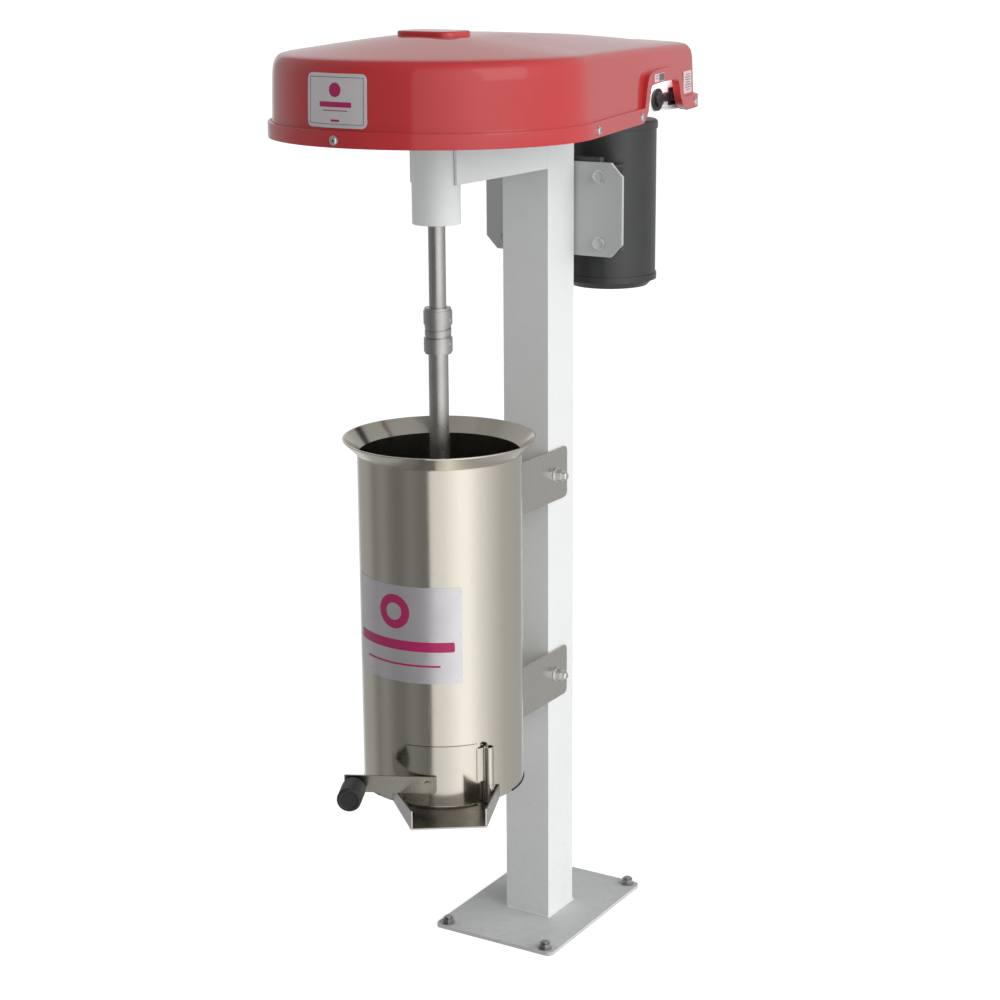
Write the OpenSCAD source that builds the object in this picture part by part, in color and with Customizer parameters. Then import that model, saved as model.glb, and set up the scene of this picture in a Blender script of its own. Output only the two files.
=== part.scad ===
// Column-mounted vertical crusher: a belt-driven spindle over a stainless tub with a side discharge.
// Millimetres. +Z is up, -Y is the front, and the origin is the column's centre line on the floor.

/* [Base and column] */
// Width of the floor plate, side to side
base_width = 220; // [200:5:260]
// Depth of the floor plate, front to back
base_depth = 306; // [280:2:340]
// Thickness of the floor plate
base_thick = 6; // [5:1:10]
// Spacing of the anchor bolts, side to side
anchor_x = 184; // [160:2:190]
// Spacing of the anchor bolts, front to back
anchor_y = 280; // [240:2:284]
// Outside size of the square column
column_size = 80; // [80:1:80]
// Wall of the square column
column_wall = 3; // [2:0.5:5]

/* [Spindle] */
// Distance from the column's centre to the spindle, forwards
reach = 288; // [280:1:300]
// Diameter of the upper shaft
shaft_d = 25; // [25:1:25]
// Diameter of the lower shaft, inside the tub
beater_shaft_d = 29; // [27:1:32]
// Outside diameter of the bearing housing
housing_d = 70; // [66:1:76]
// Underside of the bearing housing, above the floor
housing_bottom = 1181; // [1170:1:1190]
// Pitch diameter of the spindle's pulley
big_pulley_d = 300; // [260:10:320]
// Pitch diameter of the motor's pulley
small_pulley_d = 90; // [80:5:100]

/* [Tub] */
// Outside radius of the tub
tub_r = 121.3; // [121.3:0.1:121.3]
// Wall of the tub
tub_wall = 2; // [1.5:0.5:3]
// Underside of the tub, above the floor
tub_bottom = 336; // [336:1:336]
// Height at which the rim starts to flare
tub_neck = 846; // [820:1:850]
// Top of the flared rim
tub_top = 868.5; // [860:0.5:880]
// Outside radius of the flared rim
rim_r = 142.2; // [135:0.1:150]

/* [Discharge] */
// Direction of the discharge, turned from the front towards the right
chute_angle = 35; // [35:1:35]
// Radius of the chute's lip, from the spindle's axis
lip_reach = 184; // [175:1:195]
// Top of the chute's side walls
chute_top = 357; // [350:1:357]
// Outside diameter of the lever's grip
grip_d = 36; // [30:1:40]

/* [Motor] */
// Distance from the column's centre to the motor's shaft, backwards
motor_y = 230; // [225:1:235]
// Radius of the motor's barrel
motor_r = 75.6; // [70:0.1:78]
// Top of the motor's upper cap
motor_top = 1292; // [1288:1:1296]

/* [Hood] */
// Lower edge of the hood
hood_z = 1307; // [1307:1:1307]
// Radius of the hood's round front, at the flange
hood_r = 235; // [235:1:235]
// Angle by which each side of the hood narrows to the rear
hood_taper = 12.5; // [12.5:0.5:12.5]
// Rear end of the hood, from the column's centre
hood_rear = 362; // [355:1:368]
// Wall of the hood
hood_wall = 3; // [2:0.5:4]

/* [Hidden] */
$fn = 64;
half_col = column_size / 2;
gap = 0.3;
column_top = 1308.5;
belt_z = 1360;
belt_run = sqrt(pow(motor_y + reach, 2) - pow(big_pulley_d / 2 - small_pulley_d / 2, 2));
belt_lean = asin((big_pulley_d - small_pulley_d) / 2 / (motor_y + reach));
door_r = tub_r + 0.7;
door_wall = 1.8;
door_low = 340;
door_high = 430;
hinge_angle = 64;
hinge_reach = 129.2;
knuckle_r = 7.2;
knuckle_split = 367;
lever_angle = 26;
lever_gap = 125.2;
lever_wall = 3;
pivot_x = -8;
pivot_z = 372;
grip_x = -116;
chute_low = 330;
panel_x = 97;
screw_z = 1317;

white_paint = [0.88, 0.88, 0.88];
grey_paint = [0.55, 0.55, 0.55];
steel = [0.62, 0.61, 0.58];
bright = [0.75, 0.75, 0.75];
dark = [0.2, 0.2, 0.2];
black = [0.06, 0.06, 0.06];
red = [0.72, 0.12, 0.12];

module ring(outer, inner, high) {
    difference() {
        cylinder(r = outer, h = high);
        translate([0, 0, -1]) cylinder(r = inner, h = high + 2);
    }
}

module at_spindle() {
    translate([0, -reach, 0]) children();
}

module at_motor() {
    translate([0, motor_y, 0]) children();
}

// Turns a piece drawn at the tub's front round to an angle towards the right.
module round_tub(angle) {
    at_spindle() rotate([0, 0, angle]) children();
}

// A band of the tub's wall between two angles, counted from the front towards the right.
module tub_band(from, to, inner, thick, low, high) {
    at_spindle() rotate([0, 0, from - 90]) rotate_extrude(angle = to - from, $fn = 96)
        translate([inner, low]) square([thick, high - low]);
}

module rounded_block(x, y, z, r) {
    translate([-x / 2, -y / 2 + r, 0]) cube([x, y - 2 * r, z]);
    translate([-x / 2 + r, -y / 2, 0]) cube([x - 2 * r, y, z]);
    for (sx = [-1, 1]) {
        for (sy = [-1, 1]) {
            translate([sx * (x / 2 - r), sy * (y / 2 - r), 0]) cylinder(r = r, h = z, $fn = 32);
        }
    }
}

/* ---------- floor plate, column and arm ---------- */

module each_anchor() {
    for (sx = [-1, 1]) {
        for (sy = [-1, 1]) {
            translate([sx * anchor_x / 2, sy * anchor_y / 2, 0]) children();
        }
    }
}

module base_plate() color(grey_paint) {
    difference() {
        rounded_block(base_width, base_depth, base_thick, 10);
        each_anchor() translate([0, 0, -1]) cylinder(r = 6.5, h = base_thick + 2, $fn = 32);
    }
}

module anchor_bolts() color(dark) {
    each_anchor() {
        translate([0, 0, 0.2]) cylinder(r = 6, h = base_thick + 12, $fn = 32);
        translate([0, 0, base_thick]) cylinder(r = 11, h = 2.2, $fn = 32);
        translate([0, 0, base_thick + 2.2]) cylinder(r = 9.8, h = 7, $fn = 6);
    }
}

module bracket_hole_line(z) {
    translate([-60, -22, z]) rotate([0, 90, 0]) cylinder(r = 6.2, h = 120, $fn = 32);
}

module column() color(white_paint) {
    difference() {
        translate([-half_col, -half_col, base_thick]) cube([column_size, column_size, column_top - base_thick]);
        translate([-half_col + column_wall, -half_col + column_wall, base_thick - 1])
            cube([column_size - 2 * column_wall, column_size - 2 * column_wall, column_top]);
        bracket_hole_line(758);
        bracket_hole_line(427);
    }
}

module mount_rail() color(white_paint) {
    translate([-half_col + 6, half_col, 1092]) cube([column_size - 12, 4.7, 156]);
}

module arm_cheeks() color(white_paint) {
    for (side = [-1, 1]) {
        translate([side > 0 ? half_col - 4.7 : -half_col, -reach - 7, 1238])
            cube([4.7, reach + 7 - half_col, column_top - 1238]);
    }
    translate([-half_col + 4.7, -reach + 62, 1240]) cube([column_size - 9.4, 5, column_top - 1240]);
}

module bearing_housing() color(white_paint) {
    at_spindle() difference() {
        translate([0, 0, housing_bottom]) cylinder(r = housing_d / 2, h = 1332 - housing_bottom);
        translate([0, 0, housing_bottom - 1]) cylinder(r = 26, h = 27);
        translate([0, 0, housing_bottom - 1]) cylinder(r = 20, h = 200);
        translate([0, 0, 1312]) cylinder(r = 26, h = 30);
    }
}

module each_bearing() {
    at_spindle() {
        translate([0, 0, housing_bottom + 11]) children();
        translate([0, 0, 1312]) children();
    }
}

module bearing_outer_races() color(bright) {
    each_bearing() ring(26, 23, 15);
}

module bearing_inner_races() color(bright) {
    each_bearing() ring(15.7, shaft_d / 2, 15);
}

module bearing_balls() color(bright) {
    each_bearing() for (i = [0 : 8]) {
        rotate([0, 0, 40 * i]) translate([19.5, 0, 7.5]) sphere(r = 3.45, $fn = 24);
    }
}

module shaft_seal() color(black) {
    at_spindle() translate([0, 0, housing_bottom + 1]) ring(26, shaft_d / 2 + 0.4, 8);
}

/* ---------- spindle ---------- */

module spindle_shaft() color(steel) {
    at_spindle() difference() {
        translate([0, 0, 1027]) cylinder(r = shaft_d / 2, h = 1396 - 1027);
        translate([-30, 0, 1043]) rotate([0, 90, 0]) cylinder(r = 3, h = 60, $fn = 24);
    }
}

module groove(r, z) {
    translate([0, 0, z]) rotate([7, 0, 0]) difference() {
        cylinder(r = r + 6, h = 3.2);
        translate([0, 0, -1]) cylinder(r = r - 1.8, h = 6);
    }
}

module coupling_sleeve() color(steel) {
    at_spindle() difference() {
        union() {
            translate([0, 0, 993]) cylinder(r = 19.4, h = 67);
            translate([0, 0, 996]) cylinder(r = 21, h = 20);
            translate([0, 0, 1036]) cylinder(r = 21, h = 20);
        }
        translate([0, 0, 1027]) cylinder(r = shaft_d / 2, h = 60);
        translate([0, 0, 960]) cylinder(r = beater_shaft_d / 2, h = 67);
        groove(19.4, 1018);
        groove(19.4, 1029);
        translate([-30, 0, 1043]) rotate([0, 90, 0]) cylinder(r = 3, h = 60, $fn = 24);
        translate([-30, 0, 1008]) rotate([0, 90, 0]) cylinder(r = 3, h = 60, $fn = 24);
    }
}

module coupling_pins() color(bright) {
    at_spindle() for (z = [1008, 1043]) {
        translate([-20.4, 0, z]) rotate([0, 90, 0]) cylinder(r = 3, h = 40.8, $fn = 24);
    }
}

module beater_shaft() color(steel) {
    at_spindle() difference() {
        translate([0, 0, 350]) cylinder(r = beater_shaft_d / 2, h = 1027 - 350);
        translate([-30, 0, 1008]) rotate([0, 90, 0]) cylinder(r = 3, h = 60, $fn = 24);
    }
}

module beater_hub() color(steel) {
    at_spindle() translate([0, 0, 352]) ring(28, beater_shaft_d / 2, 62);
}

module beater_blades() color(steel) {
    at_spindle() for (i = [0 : 3]) {
        difference() {
            rotate([0, 0, 90 * i + 20]) translate([28, 0, 358 + 26 * (i % 2)]) rotate([25, 0, 0])
                translate([-2, -2.5, 0]) cube([79.8, 5, 24]);
            cylinder(r = 28.02, h = 600);
        }
    }
}

/* ---------- belt drive ---------- */

// A pulley with one V groove and a recessed web.
module pulley(pitch_r, bore_r, hub_r, web) {
    rim = pitch_r + 3.6;
    slope = tan(20);
    top_half = 6.5 + 0.5 + 0.6 * slope;
    low_half = top_half - 10.6 * slope;
    rotate_extrude($fn = 96) polygon([
        [bore_r, -18],
        [hub_r, -18],
        [hub_r, -web],
        [pitch_r - 14, -web],
        [pitch_r - 14, -11.5],
        [rim, -11.5],
        [rim, -top_half],
        [rim - 10.6, -low_half],
        [rim - 10.6, low_half],
        [rim, top_half],
        [rim, 11.5],
        [pitch_r - 14, 11.5],
        [pitch_r - 14, web],
        [hub_r, web],
        [hub_r, 18],
        [bore_r, 18]
    ]);
}

module spindle_pulley() color(dark) {
    at_spindle() translate([0, 0, belt_z]) pulley(big_pulley_d / 2, shaft_d / 2, 32, 4);
}

module pulley_nut() color(bright) {
    at_spindle() {
        translate([0, 0, belt_z + 18]) ring(22, shaft_d / 2, 3);
        translate([0, 0, belt_z + 21]) difference() {
            cylinder(r = 20, h = 12, $fn = 6);
            translate([0, 0, -1]) cylinder(r = shaft_d / 2, h = 14);
        }
    }
}

module motor_pulley() color(dark) {
    at_motor() translate([0, 0, belt_z]) pulley(small_pulley_d / 2, 12, 22, 11.5);
}

module belt_section() {
    polygon([[3, -6.5], [3, 6.5], [-5, 3.59], [-5, -3.59]]);
}

module belt_arc(pitch_r, start, sweep) {
    rotate([0, 0, start]) rotate_extrude(angle = sweep, $fn = 96) translate([pitch_r, 0]) belt_section();
}

module belt_span() {
    rotate([0, 0, belt_lean]) translate([big_pulley_d / 2, belt_run + 0.3, 0]) rotate([90, 0, 0])
        linear_extrude(belt_run + 0.6) belt_section();
}

module v_belt() color(black) {
    at_spindle() translate([0, 0, belt_z]) {
        belt_arc(big_pulley_d / 2, 180 - belt_lean, 180 + 2 * belt_lean);
        belt_span();
        mirror([1, 0, 0]) belt_span();
    }
    at_motor() translate([0, 0, belt_z]) belt_arc(small_pulley_d / 2, belt_lean, 180 - 2 * belt_lean);
}

/* ---------- motor ---------- */

module each_motor_bolt() {
    for (sx = [-1, 1]) {
        for (z = [1118, 1221]) {
            translate([sx * 83, 44.7, z]) rotate([-90, 0, 0]) children();
        }
    }
}

module motor_mount_plate() color(white_paint) {
    difference() {
        translate([0, 50.7, 1169.5]) rotate([90, 0, 0]) linear_extrude(6) polygon([
            [-122, -52.5], [-102, -72.5], [102, -72.5], [122, -52.5],
            [122, 52.5], [102, 72.5], [-102, 72.5], [-122, 52.5]
        ]);
        each_motor_bolt() translate([0, 0, -1]) cylinder(r = 5.2, h = 8, $fn = 32);
    }
}

module motor_bolts() color(bright) {
    each_motor_bolt() {
        translate([0, 0, -2]) cylinder(r = 10.5, h = 2, $fn = 32);
        translate([0, 0, -9]) cylinder(r = 8.8, h = 7, $fn = 6);
        translate([0, 0, -2]) cylinder(r = 5, h = 30, $fn = 32);
        translate([0, 0, 18]) cylinder(r = 8.8, h = 8, $fn = 6);
    }
}

module foot_plate() {
    round_r = 12;
    translate([0, 62.7, 0]) rotate([90, 0, 0]) linear_extrude(12) {
        translate([-120, 1105 + round_r]) square([240, 130 - 2 * round_r]);
        translate([-120 + round_r, 1105]) square([240 - 2 * round_r, 130]);
        for (x = [-120 + round_r, 120 - round_r]) {
            for (z = [1105 + round_r, 1235 - round_r]) {
                translate([x, z]) circle(r = round_r, $fn = 32);
            }
        }
    }
}

module motor_foot() color(dark) {
    difference() {
        union() {
            foot_plate();
            translate([-60, 62.7, 1108]) cube([22, 110, 40]);
            translate([38, 62.7, 1108]) cube([22, 110, 40]);
            translate([-60, 62.7, 1188]) cube([22, 110, 40]);
            translate([38, 62.7, 1188]) cube([22, 110, 40]);
            translate([-80, 50.7, 1230]) cube([160, 12, 19]);
        }
        at_motor() translate([0, 0, 1000]) cylinder(r = motor_r + 0.1, h = 320);
        each_motor_bolt() translate([0, 0, -1]) cylinder(r = 5.2, h = 50, $fn = 32);
    }
}

module motor_body() color(dark) {
    at_motor() translate([0, 0, 1044]) ring(motor_r, 45.5, motor_top - 14 - 1044);
}

module motor_top_cap() color(dark) {
    at_motor() difference() {
        union() {
            translate([0, 0, motor_top - 14]) cylinder(r = motor_r + 2, h = 11);
            translate([0, 0, motor_top - 3]) cylinder(r1 = motor_r + 2, r2 = motor_r - 1, h = 3);
            translate([0, 0, motor_top]) cylinder(r = 30, h = 6);
        }
        translate([0, 0, motor_top - 20]) cylinder(r = 12.4, h = 40);
    }
}

module motor_bottom_cap() color(dark) {
    at_motor() {
        translate([0, 0, 1034]) cylinder(r = motor_r + 2, h = 10);
        translate([0, 0, 1024]) cylinder(r1 = motor_r - 12, r2 = motor_r - 3, h = 10);
    }
}

module motor_rotor() color(steel) {
    at_motor() translate([0, 0, 1064]) ring(45, 12, 190);
}

module motor_shaft() color(bright) {
    at_motor() translate([0, 0, 1050]) cylinder(r = 12, h = 1386 - 1050);
}

/* ---------- deck, hood and switches ---------- */

// The hood's outline, drawn in by a distance, as a prism.
module hood_prism(inset, low, high) {
    translate([0, 0, low]) hull() {
        at_spindle() cylinder(r = hood_r - inset, h = high - low, $fn = 96);
        rear_corners(inset, high - low);
    }
}

module rear_corners(inset, high) {
    corner = 25;
    y = hood_rear - inset - corner;
    x = (hood_r - inset - corner - (y + reach) * sin(hood_taper)) / cos(hood_taper);
    for (side = [-1, 1]) {
        translate([side * x, y, 0]) cylinder(r = corner, h = high, $fn = 32);
    }
}

// The domed part of the hood. Each step is a distance in from the flange, a height at the round
// front and a height at the rear.
module hood_dome(wall) {
    steps = [
        [6.5, 1326, 1326], [7.4, 1357, 1352], [8.6, 1390, 1382], [9.8, 1404, 1394], [11.8, 1411, 1400.5],
        [15, 1416.5, 1405.3], [19.5, 1420.5, 1408.8], [30, 1423, 1411.5]
    ];
    hull() {
        for (s = steps) {
            at_spindle() translate([0, 0, s[1] - wall]) cylinder(r = hood_r - s[0] - wall, h = 0.1, $fn = 96);
            translate([0, 0, s[2] - wall]) rear_corners(s[0] + wall, 0.1);
        }
        at_spindle() translate([0, 0, 1444.5 - wall]) cylinder(r = 54, h = 0.1);
        translate([0, -130, 1443.4 - wall]) cylinder(r = 20, h = 0.1, $fn = 32);
        translate([0, 66, 1430 - wall]) cylinder(r = 30, h = 0.1, $fn = 32);
        translate([0, 200, 1420.5 - wall]) cylinder(r = 24, h = 0.1, $fn = 32);
    }
}

// The opening in the right side for the switches; grow widens it for the band around it.
module side_arch(grow) {
    translate([60, 0, 0]) rotate([90, 0, 90]) linear_extrude(140) polygon([
        [14 - grow, hood_z - 3], [24 - grow, hood_z + 3], [40 - grow, 1318], [50 - grow, 1334],
        [60 - grow, 1356 + grow / 2], [68 - grow / 2, 1361 + grow], [214 + grow / 2, 1361 + grow],
        [224 + grow, 1356 + grow / 2], [234 + grow, 1334], [250 + grow, 1316], [270 + grow, hood_z + 3],
        [284 + grow, hood_z - 3]
    ]);
}

module hood() color(red) {
    difference() {
        union() {
            hood_prism(0, hood_z, 1329);
            hood_dome(0);
            intersection() {
                hood_prism(0.5, hood_z, 1384);
                side_arch(21);
            }
        }
        hood_prism(3.2, hood_z - 1, 1325);
        hood_dome(hood_wall);
        side_arch(0);
        each_hood_screw() translate([0, 0, -12]) cylinder(r = 3.3, h = 20, $fn = 24);
    }
}

module side_screw(along) {
    at_spindle() for (side = [-1, 1]) {
        rotate([0, 0, side > 0 ? hood_taper : 180 - hood_taper])
            translate([hood_r, side * along, screw_z]) rotate([0, 90, 0]) children();
    }
}

module each_hood_screw() {
    at_spindle() rotate([0, 0, -91.8]) translate([hood_r, 0, screw_z]) rotate([0, 90, 0]) children();
    side_screw(20) children();
    side_screw(249) children();
    side_screw(578) children();
}

module hood_screws() color(bright) {
    each_hood_screw() {
        translate([0, 0, -12]) cylinder(r = 3, h = 13, $fn = 24);
        translate([0, 0, 0.4]) cylinder(r = 6.2, h = 1.4, $fn = 32);
        translate([0, 0, 1.8]) cylinder(r1 = 5.2, r2 = 3.6, h = 2, $fn = 32);
    }
}

module hood_pad() color(red) {
    at_spindle() translate([0, 0, 1444.7]) {
        rounded_block(96, 72, 4.5, 23);
        rounded_block(88, 64, 6.5, 19);
    }
}

// The front plate bends round the hood and leans back with its wall.
module hood_label() color(bright) {
    at_spindle() rotate([0, 0, -90 - 15]) rotate_extrude(angle = 25.4, $fn = 96) polygon([
        [228.6, 1333], [227.9, 1357], [226.7, 1390], [225.5, 1404],
        [226.4, 1404.1], [227.6, 1390.1], [228.8, 1357.1], [229.5, 1333]
    ]);
}

module side_label() color(bright) {
    at_spindle() rotate([0, 0, hood_taper]) translate([hood_r - 6, 524, 1332]) rotate([0, -2, 0])
        cube([0.8, 54, 36]);
}

module deck_pan() color(white_paint) {
    difference() {
        union() {
            difference() {
                hood_prism(3.7, 1309, 1324.5);
                hood_prism(5.9, 1311, 1340);
            }
        }
        translate([panel_x, 6, 1300]) cube([100, 290, 40]);
        at_spindle() translate([0, 0, 1300]) cylinder(r = housing_d / 2 + 0.6, h = 40);
        at_motor() translate([0, 0, 1300]) cylinder(r = 34, h = 40);
        translate([-60, 315, 1300]) cylinder(r = 8.2, h = 40, $fn = 32);
        each_hood_screw() translate([0, 0, -14]) cylinder(r = 3, h = 20, $fn = 24);
    }
}

module each_panel_item(y, z) {
    translate([panel_x, y, z]) rotate([0, 90, 0]) children();
}

module control_panel() color(white_paint) {
    difference() {
        union() {
            translate([panel_x - 2, 150, 1311]) cube([2, 138, 56]);
            translate([panel_x - 26, 150, 1311]) cube([24, 138, 2]);
        }
        each_panel_item(203, 1328) translate([0, 0, -10]) cylinder(r = 13.4, h = 20);
        each_panel_item(232, 1330) translate([0, 0, -10]) cylinder(r = 5.2, h = 20, $fn = 32);
        translate([panel_x - 10, 245.8, 1318.5]) cube([20, 20.4, 23]);
        each_panel_item(280, 1330) translate([0, 0, -10]) cylinder(r = 5.2, h = 20, $fn = 32);
    }
}

module button_bezel() color(black) {
    each_panel_item(203, 1328) {
        ring(17.5, 11.5, 4);
        translate([0, 0, -16]) ring(13.2, 11.5, 17);
        translate([0, 0, -18]) cylinder(r = 13.2, h = 2);
    }
}

module push_button() color(black) {
    each_panel_item(203, 1328) {
        translate([0, 0, -8]) cylinder(r = 11.2, h = 16);
        translate([0, 0, 8]) cylinder(r1 = 11.2, r2 = 9.6, h = 1.6);
    }
}

module rocker_frame() color(black) {
    difference() {
        union() {
            translate([panel_x, 243.5, 1316]) cube([2, 25, 28]);
            translate([panel_x - 16, 246, 1318.7]) cube([16, 20, 22.6]);
        }
        translate([panel_x - 13, 248.4, 1321]) cube([20, 15.2, 18]);
    }
}

module rocker() color(dark) {
    translate([panel_x - 4, 256, 1330]) rotate([0, -10, 0]) intersection() {
        translate([-4, -7.2, -7.9]) cube([14, 14.4, 15.8]);
        translate([0, 7.2, 0]) rotate([90, 0, 0]) cylinder(r = 9.3, h = 14.4);
    }
}

module fuse_holders() color(black) {
    for (y = [232, 280]) {
        each_panel_item(y, 1330) {
            cylinder(r = 7.2, h = 5);
            translate([0, 0, -18]) cylinder(r = 5, h = 18, $fn = 32);
        }
    }
}

module cable_gland() color(black) {
    translate([-60, 315, 0]) difference() {
        union() {
            translate([0, 0, 1296]) cylinder(r = 11.5, h = 13, $fn = 6);
            translate([0, 0, 1280]) cylinder(r = 9.5, h = 16);
            translate([0, 0, 1309]) cylinder(r = 8, h = 12);
            translate([0, 0, 1311]) cylinder(r = 11.5, h = 5, $fn = 6);
        }
        translate([0, 0, 1270]) cylinder(r = 4.5, h = 60);
    }
}

/* ---------- tub, brackets and chute ---------- */

module tub() color(steel) {
    difference() {
        at_spindle() rotate_extrude($fn = 128) polygon([
            [tub_r - tub_wall, tub_bottom],
            [tub_r, tub_bottom],
            [tub_r, tub_neck],
            [rim_r, tub_top - 1.5],
            [rim_r, tub_top],
            [rim_r - 2.4, tub_top],
            [tub_r - tub_wall, tub_neck + 1]
        ]);
        round_tub(32) translate([-42, -150, 343]) cube([84, 60, 82]);
    }
}

module tub_floor() color(steel) {
    at_spindle() translate([0, 0, tub_bottom + 2]) cylinder(r = tub_r - tub_wall, h = 3, $fn = 128);
}

module bracket(z) {
    difference() {
        union() {
            for (side = [-1, 1]) {
                translate([side > 0 ? half_col + gap : -half_col - gap - 4, -180, z - 41.5]) bracket_cheek();
            }
            translate([-half_col - gap - 4, -166.2, z - 41.5]) cube([column_size + 2 * gap + 8, 4, 83]);
        }
        at_spindle() cylinder(r = tub_r + 0.1, h = 900, $fn = 128);
        bracket_hole_line(z);
    }
}

module bracket_cheek() {
    cube([4, 184, 83]);
    translate([0, 184, 9]) cube([4, 9, 65]);
    for (z = [9, 74]) {
        translate([0, 184, z]) rotate([0, 90, 0]) cylinder(r = 9, h = 4, $fn = 32);
    }
}

module upper_bracket() color(steel) {
    bracket(758);
}

module lower_bracket() color(steel) {
    bracket(427);
}

module bracket_bolts() color(bright) {
    for (z = [427, 758]) {
        translate([0, -22, z]) rotate([0, 90, 0]) {
            translate([0, 0, -54]) cylinder(r = 6, h = 117, $fn = 32);
            translate([0, 0, -54]) cylinder(r = 10.4, h = 7.6, $fn = 6);
            translate([0, 0, 63]) cylinder(r1 = 6, r2 = 4.8, h = 1.2, $fn = 32);
        }
    }
}

module bracket_nuts() color(bright) {
    for (z = [427, 758]) {
        translate([0, -22, z]) rotate([0, 90, 0]) difference() {
            union() {
                translate([0, 0, 44.4]) cylinder(r = 12, h = 2.4, $fn = 32);
                translate([0, 0, 46.8]) cylinder(r = 10.4, h = 10, $fn = 6);
                translate([0, 0, -46.4]) cylinder(r = 12, h = 2.1, $fn = 32);
            }
            translate([0, 0, -60]) cylinder(r = 6, h = 130, $fn = 32);
        }
    }
}

// The chute narrows from the tub to its lip; its floor falls slightly forwards.
module chute_plan(extra) {
    polygon([
        [-80 - extra, -90], [80 + extra, -90],
        [55 + extra, -lip_reach], [-55 - extra, -lip_reach]
    ]);
}

module chute_floor(thick) {
    fall = atan((tub_bottom + 1 - chute_low) / (lip_reach - 110));
    translate([0, -110, tub_bottom + 1]) rotate([fall, 0, 0]) translate([-120, -120, -thick])
        cube([240, 160, thick]);
}

module chute() color(steel) {
    difference() {
        round_tub(chute_angle) intersection() {
            translate([0, 0, 318]) linear_extrude(chute_top - 318) chute_plan(0);
            union() {
                chute_floor(2.5);
                difference() {
                    translate([0, 0, 318]) linear_extrude(60) chute_plan(1);
                    translate([0, 0, 317]) linear_extrude(62) chute_plan(-2.5);
                    chute_floor_below();
                }
            }
        }
        at_spindle() cylinder(r = tub_r + 0.1, h = 900, $fn = 128);
    }
}

module chute_floor_below() {
    fall = atan((tub_bottom + 1 - chute_low) / (lip_reach - 110));
    translate([0, -110, tub_bottom + 1]) rotate([fall, 0, 0]) translate([-130, -130, -62.5])
        cube([260, 200, 60]);
}

module at_hinge() {
    round_tub(hinge_angle) translate([0, -hinge_reach, 0]) children();
}

module hinge_knuckle() color(steel) {
    difference() {
        union() {
            at_hinge() translate([0, 0, 338]) cylinder(r = knuckle_r, h = knuckle_split - 0.2 - 338);
            round_tub(hinge_angle + 5) translate([-7, -127, 339]) cube([8, 8, 26]);
        }
        at_hinge() translate([0, 0, 330]) cylinder(r = 4, h = 60);
        at_spindle() cylinder(r = tub_r + 0.1, h = 900, $fn = 128);
    }
}

module hinge_pin() color(bright) {
    at_hinge() translate([0, 0, 338.5]) cylinder(r = 4, h = 68);
}

module tub_label() color(bright) {
    tub_band(-45, 47, tub_r + 0.1, 0.6, 527, 673);
}

/* ---------- discharge door ---------- */

module discharge_door() color(steel) {
    difference() {
        tub_band(7, 57, door_r, door_wall, door_low, door_high);
        round_tub(lever_angle) translate([pivot_x, -140, pivot_z]) rotate([-90, 0, 0])
            cylinder(r = 4, h = 30, $fn = 32);
    }
}

module door_knuckle() color(steel) {
    difference() {
        union() {
            at_hinge() translate([0, 0, knuckle_split + 0.2])
                cylinder(r = knuckle_r, h = door_high - 5 - knuckle_split);
            tub_band(56, 62, door_r + door_wall + 0.02, 2.4, 372, 423);
        }
        at_hinge() translate([0, 0, 330]) cylinder(r = 4.06, h = 120);
        at_hinge() translate([0, 0, 411]) cylinder(r = 5.7, h = 40);
        at_spindle() cylinder(r = door_r + door_wall + 0.02, h = 900, $fn = 128);
    }
}

module lever_bolt() color(bright) {
    round_tub(lever_angle) translate([pivot_x, 0, pivot_z]) rotate([90, 0, 0]) {
        translate([0, 0, door_r + 0.2]) cylinder(r = 4, h = lever_gap + lever_wall + 0.4 - door_r - 0.2, $fn = 32);
        translate([0, 0, lever_gap + lever_wall + 0.4]) cylinder(r = 6, h = 3, $fn = 32);
    }
}

// The lever is drawn lying on the tub's front, along X, and pivots on the door's bolt.
module lever() color(steel) {
    round_tub(lever_angle) difference() {
        union() {
            translate([0, -lever_gap, 0]) rotate([90, 0, 0]) linear_extrude(lever_wall) polygon([
                [-132, 359], [-88, 359], [-64, 350], [-62, 350], [-61, 359],
                [2, 359], [4, 361], [4, 383], [2, 385], [-132, 385]
            ]);
            translate([grip_x, -lever_gap - lever_wall, 370]) rotate([90, 0, 0]) cylinder(r = 6, h = 9);
            translate([grip_x, -lever_gap - lever_wall - 9, 370]) rotate([90, 0, 0]) cylinder(r = 5, h = 30);
        }
        translate([pivot_x, -100, pivot_z]) rotate([90, 0, 0]) cylinder(r = 4.06, h = 60, $fn = 32);
    }
}

module grip() color(black) {
    front = lever_gap + lever_wall + 9;
    round_tub(lever_angle) translate([grip_x, 0, 370]) rotate([90, 0, 0]) difference() {
        union() {
            translate([0, 0, front]) cylinder(r1 = grip_d / 2 - 4, r2 = grip_d / 2, h = 6);
            translate([0, 0, front + 6]) cylinder(r = grip_d / 2, h = 42);
            translate([0, 0, front + 48]) cylinder(r1 = grip_d / 2, r2 = grip_d / 2 - 3, h = 3);
        }
        translate([0, 0, front - 1]) cylinder(r = 5, h = 31);
    }
}

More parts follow.
